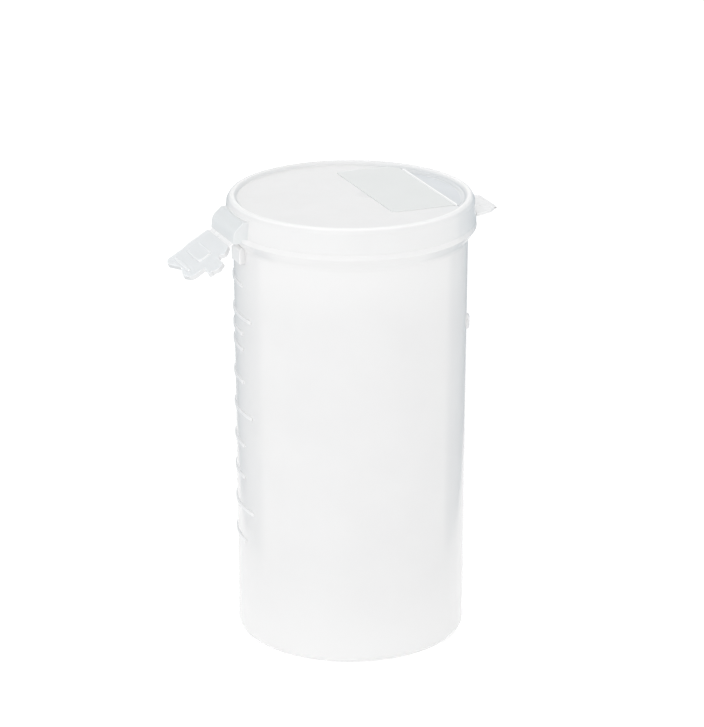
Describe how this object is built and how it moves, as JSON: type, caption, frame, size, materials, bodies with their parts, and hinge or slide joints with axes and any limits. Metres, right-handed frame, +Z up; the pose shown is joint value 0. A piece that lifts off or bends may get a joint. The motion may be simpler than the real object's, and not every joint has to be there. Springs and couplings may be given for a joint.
{
  "type": "hinged-lid sample container",
  "caption": "Tall milky plastic sample container with volume marks, a round lid on a film hinge and a side flap that hooks under a lug to lock the lid.",
  "frame": {"origin": "centre of the base, on the plane that the container stands on", "axes": "+Z up along the container's axis, +X towards the lid hinge, -X towards the locking flap, Y along both hinge lines"},
  "size_m": [0.0663, 0.0494, 0.0903],
  "materials": {
    "body_polypropylene": "milky translucent natural polypropylene, smooth mould finish",
    "lid_polypropylene": "milky translucent natural polypropylene, smooth mould finish",
    "hinge_polypropylene": "thin, clearer polypropylene film",
    "frosted_panel": "fine matt mould texture for writing on"
  },
  "bodies": {
    "vessel": {"body_wall": "body_polypropylene", "base_panel": "body_polypropylene", "collar": "body_polypropylene", "neck_rim": "body_polypropylene", "keeper_lug": "body_polypropylene", "body_hinge_leaf": "hinge_polypropylene", "hinge_film": "hinge_polypropylene", "graduation_marks": "body_polypropylene", "fill_mark": "body_polypropylene"},
    "lid": {"lid_cap": "lid_polypropylene", "seal_ring": "lid_polypropylene", "write_on_panel": "frosted_panel", "lid_rib": "lid_polypropylene", "lid_hinge_leaf": "hinge_polypropylene", "lock_shoulder": "lid_polypropylene", "flap_film": "hinge_polypropylene"},
    "flap": {"lock_flap": "lid_polypropylene"}
  },
  "joints": [
    {"name": "lid_hinge", "type": "hinge", "parent": "vessel", "child": "lid", "pos_m": [0.02935, 0, 0.08525], "axis": [0, 1, 0], "range_deg": [0, 180]},
    {"name": "flap_hinge", "type": "hinge", "parent": "lid", "child": "flap", "pos_m": [-0.0271, 0, 0.0843], "axis": [0, 1, 0], "range_deg": [-59, 90], "stiffness_Nm_per_rad": 0.0003}
  ]
}
